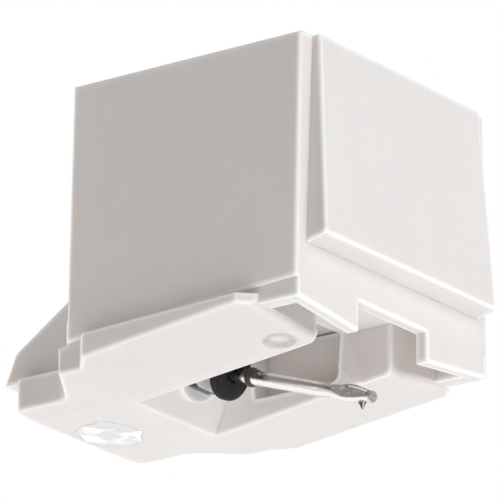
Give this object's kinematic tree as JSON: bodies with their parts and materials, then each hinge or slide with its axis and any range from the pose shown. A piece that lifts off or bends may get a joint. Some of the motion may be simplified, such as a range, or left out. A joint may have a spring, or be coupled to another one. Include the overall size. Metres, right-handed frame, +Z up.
{
  "type": "turntable stylus cartridge",
  "caption": "Compact off-white moving-magnet phono cartridge: a boxed generator with rear pins, a slide-on stylus shell and a sprung tube cantilever with a diamond tip.",
  "frame": {"origin": "centre of the top mounting face", "axes": "+Z up, out of the top mounting face; -Y the front, with the raised panel; -X the cartridge's right side"},
  "size_m": [0.0164, 0.0202, 0.0156],
  "materials": {
    "shell_plastic": "satin off-white",
    "terminal_plastic": "satin black",
    "pin_metal": "gold flashed",
    "pole_metal": "annealed",
    "bobbin_plastic": "natural",
    "copper_wire": "enamelled copper",
    "sleeve_metal": "bright",
    "damper_rubber": "matte black",
    "wire_steel": "drawn",
    "cantilever_metal": "bright drawn",
    "carrier_plastic": "satin black",
    "magnet_material": "plain",
    "shank_metal": "plain",
    "diamond": "polished",
    "clear_adhesive": "glossy clear"
  },
  "bodies": {
    "generator": {"generator_body": "shell_plastic", "generator_lid": "shell_plastic", "terminal_block": "terminal_plastic", "yoke": "pole_metal", "pole_piece_left": "pole_metal", "coil_bobbin_left": "bobbin_plastic", "coil_winding_left": "copper_wire", "terminal_pin_left_upper": "pin_metal", "coil_lead_left_upper": "copper_wire", "terminal_pin_left_lower": "pin_metal", "coil_lead_left_lower": "copper_wire", "pole_piece_right": "pole_metal", "coil_bobbin_right": "bobbin_plastic", "coil_winding_right": "copper_wire", "terminal_pin_right_upper": "pin_metal", "coil_lead_right_upper": "copper_wire", "terminal_pin_right_lower": "pin_metal", "coil_lead_right_lower": "copper_wire"},
    "stylus_unit": {"stylus_shell": "shell_plastic", "suspension_sleeve": "sleeve_metal", "wire_anchor": "sleeve_metal", "bond_spot": "clear_adhesive"},
    "damper_link": {"damper": "damper_rubber"},
    "cantilever": {"cantilever_tube": "cantilever_metal", "magnet_carrier": "carrier_plastic", "magnet_left": "magnet_material", "magnet_right": "magnet_material", "tie_wire": "wire_steel", "stop_collar": "carrier_plastic", "tip_shank": "shank_metal", "diamond_tip": "diamond"}
  },
  "joints": [
    {"name": "stylus_pull", "type": "slide", "parent": "generator", "child": "stylus_unit", "axis": [0, -1, 0], "range_m": [0, 0.018]},
    {"name": "cantilever_yaw", "type": "hinge", "parent": "stylus_unit", "child": "damper_link", "pos_m": [0, 0.00265, -0.01254], "axis": [0, 0, 1], "range_deg": [-2, 2], "stiffness_Nm_per_rad": 0.0036},
    {"name": "cantilever_pitch", "type": "hinge", "parent": "damper_link", "child": "cantilever", "pos_m": [0, 0.00265, -0.01254], "axis": [-1, 0, 0], "range_deg": [-1.5, 3], "stiffness_Nm_per_rad": 0.0036}
  ]
}
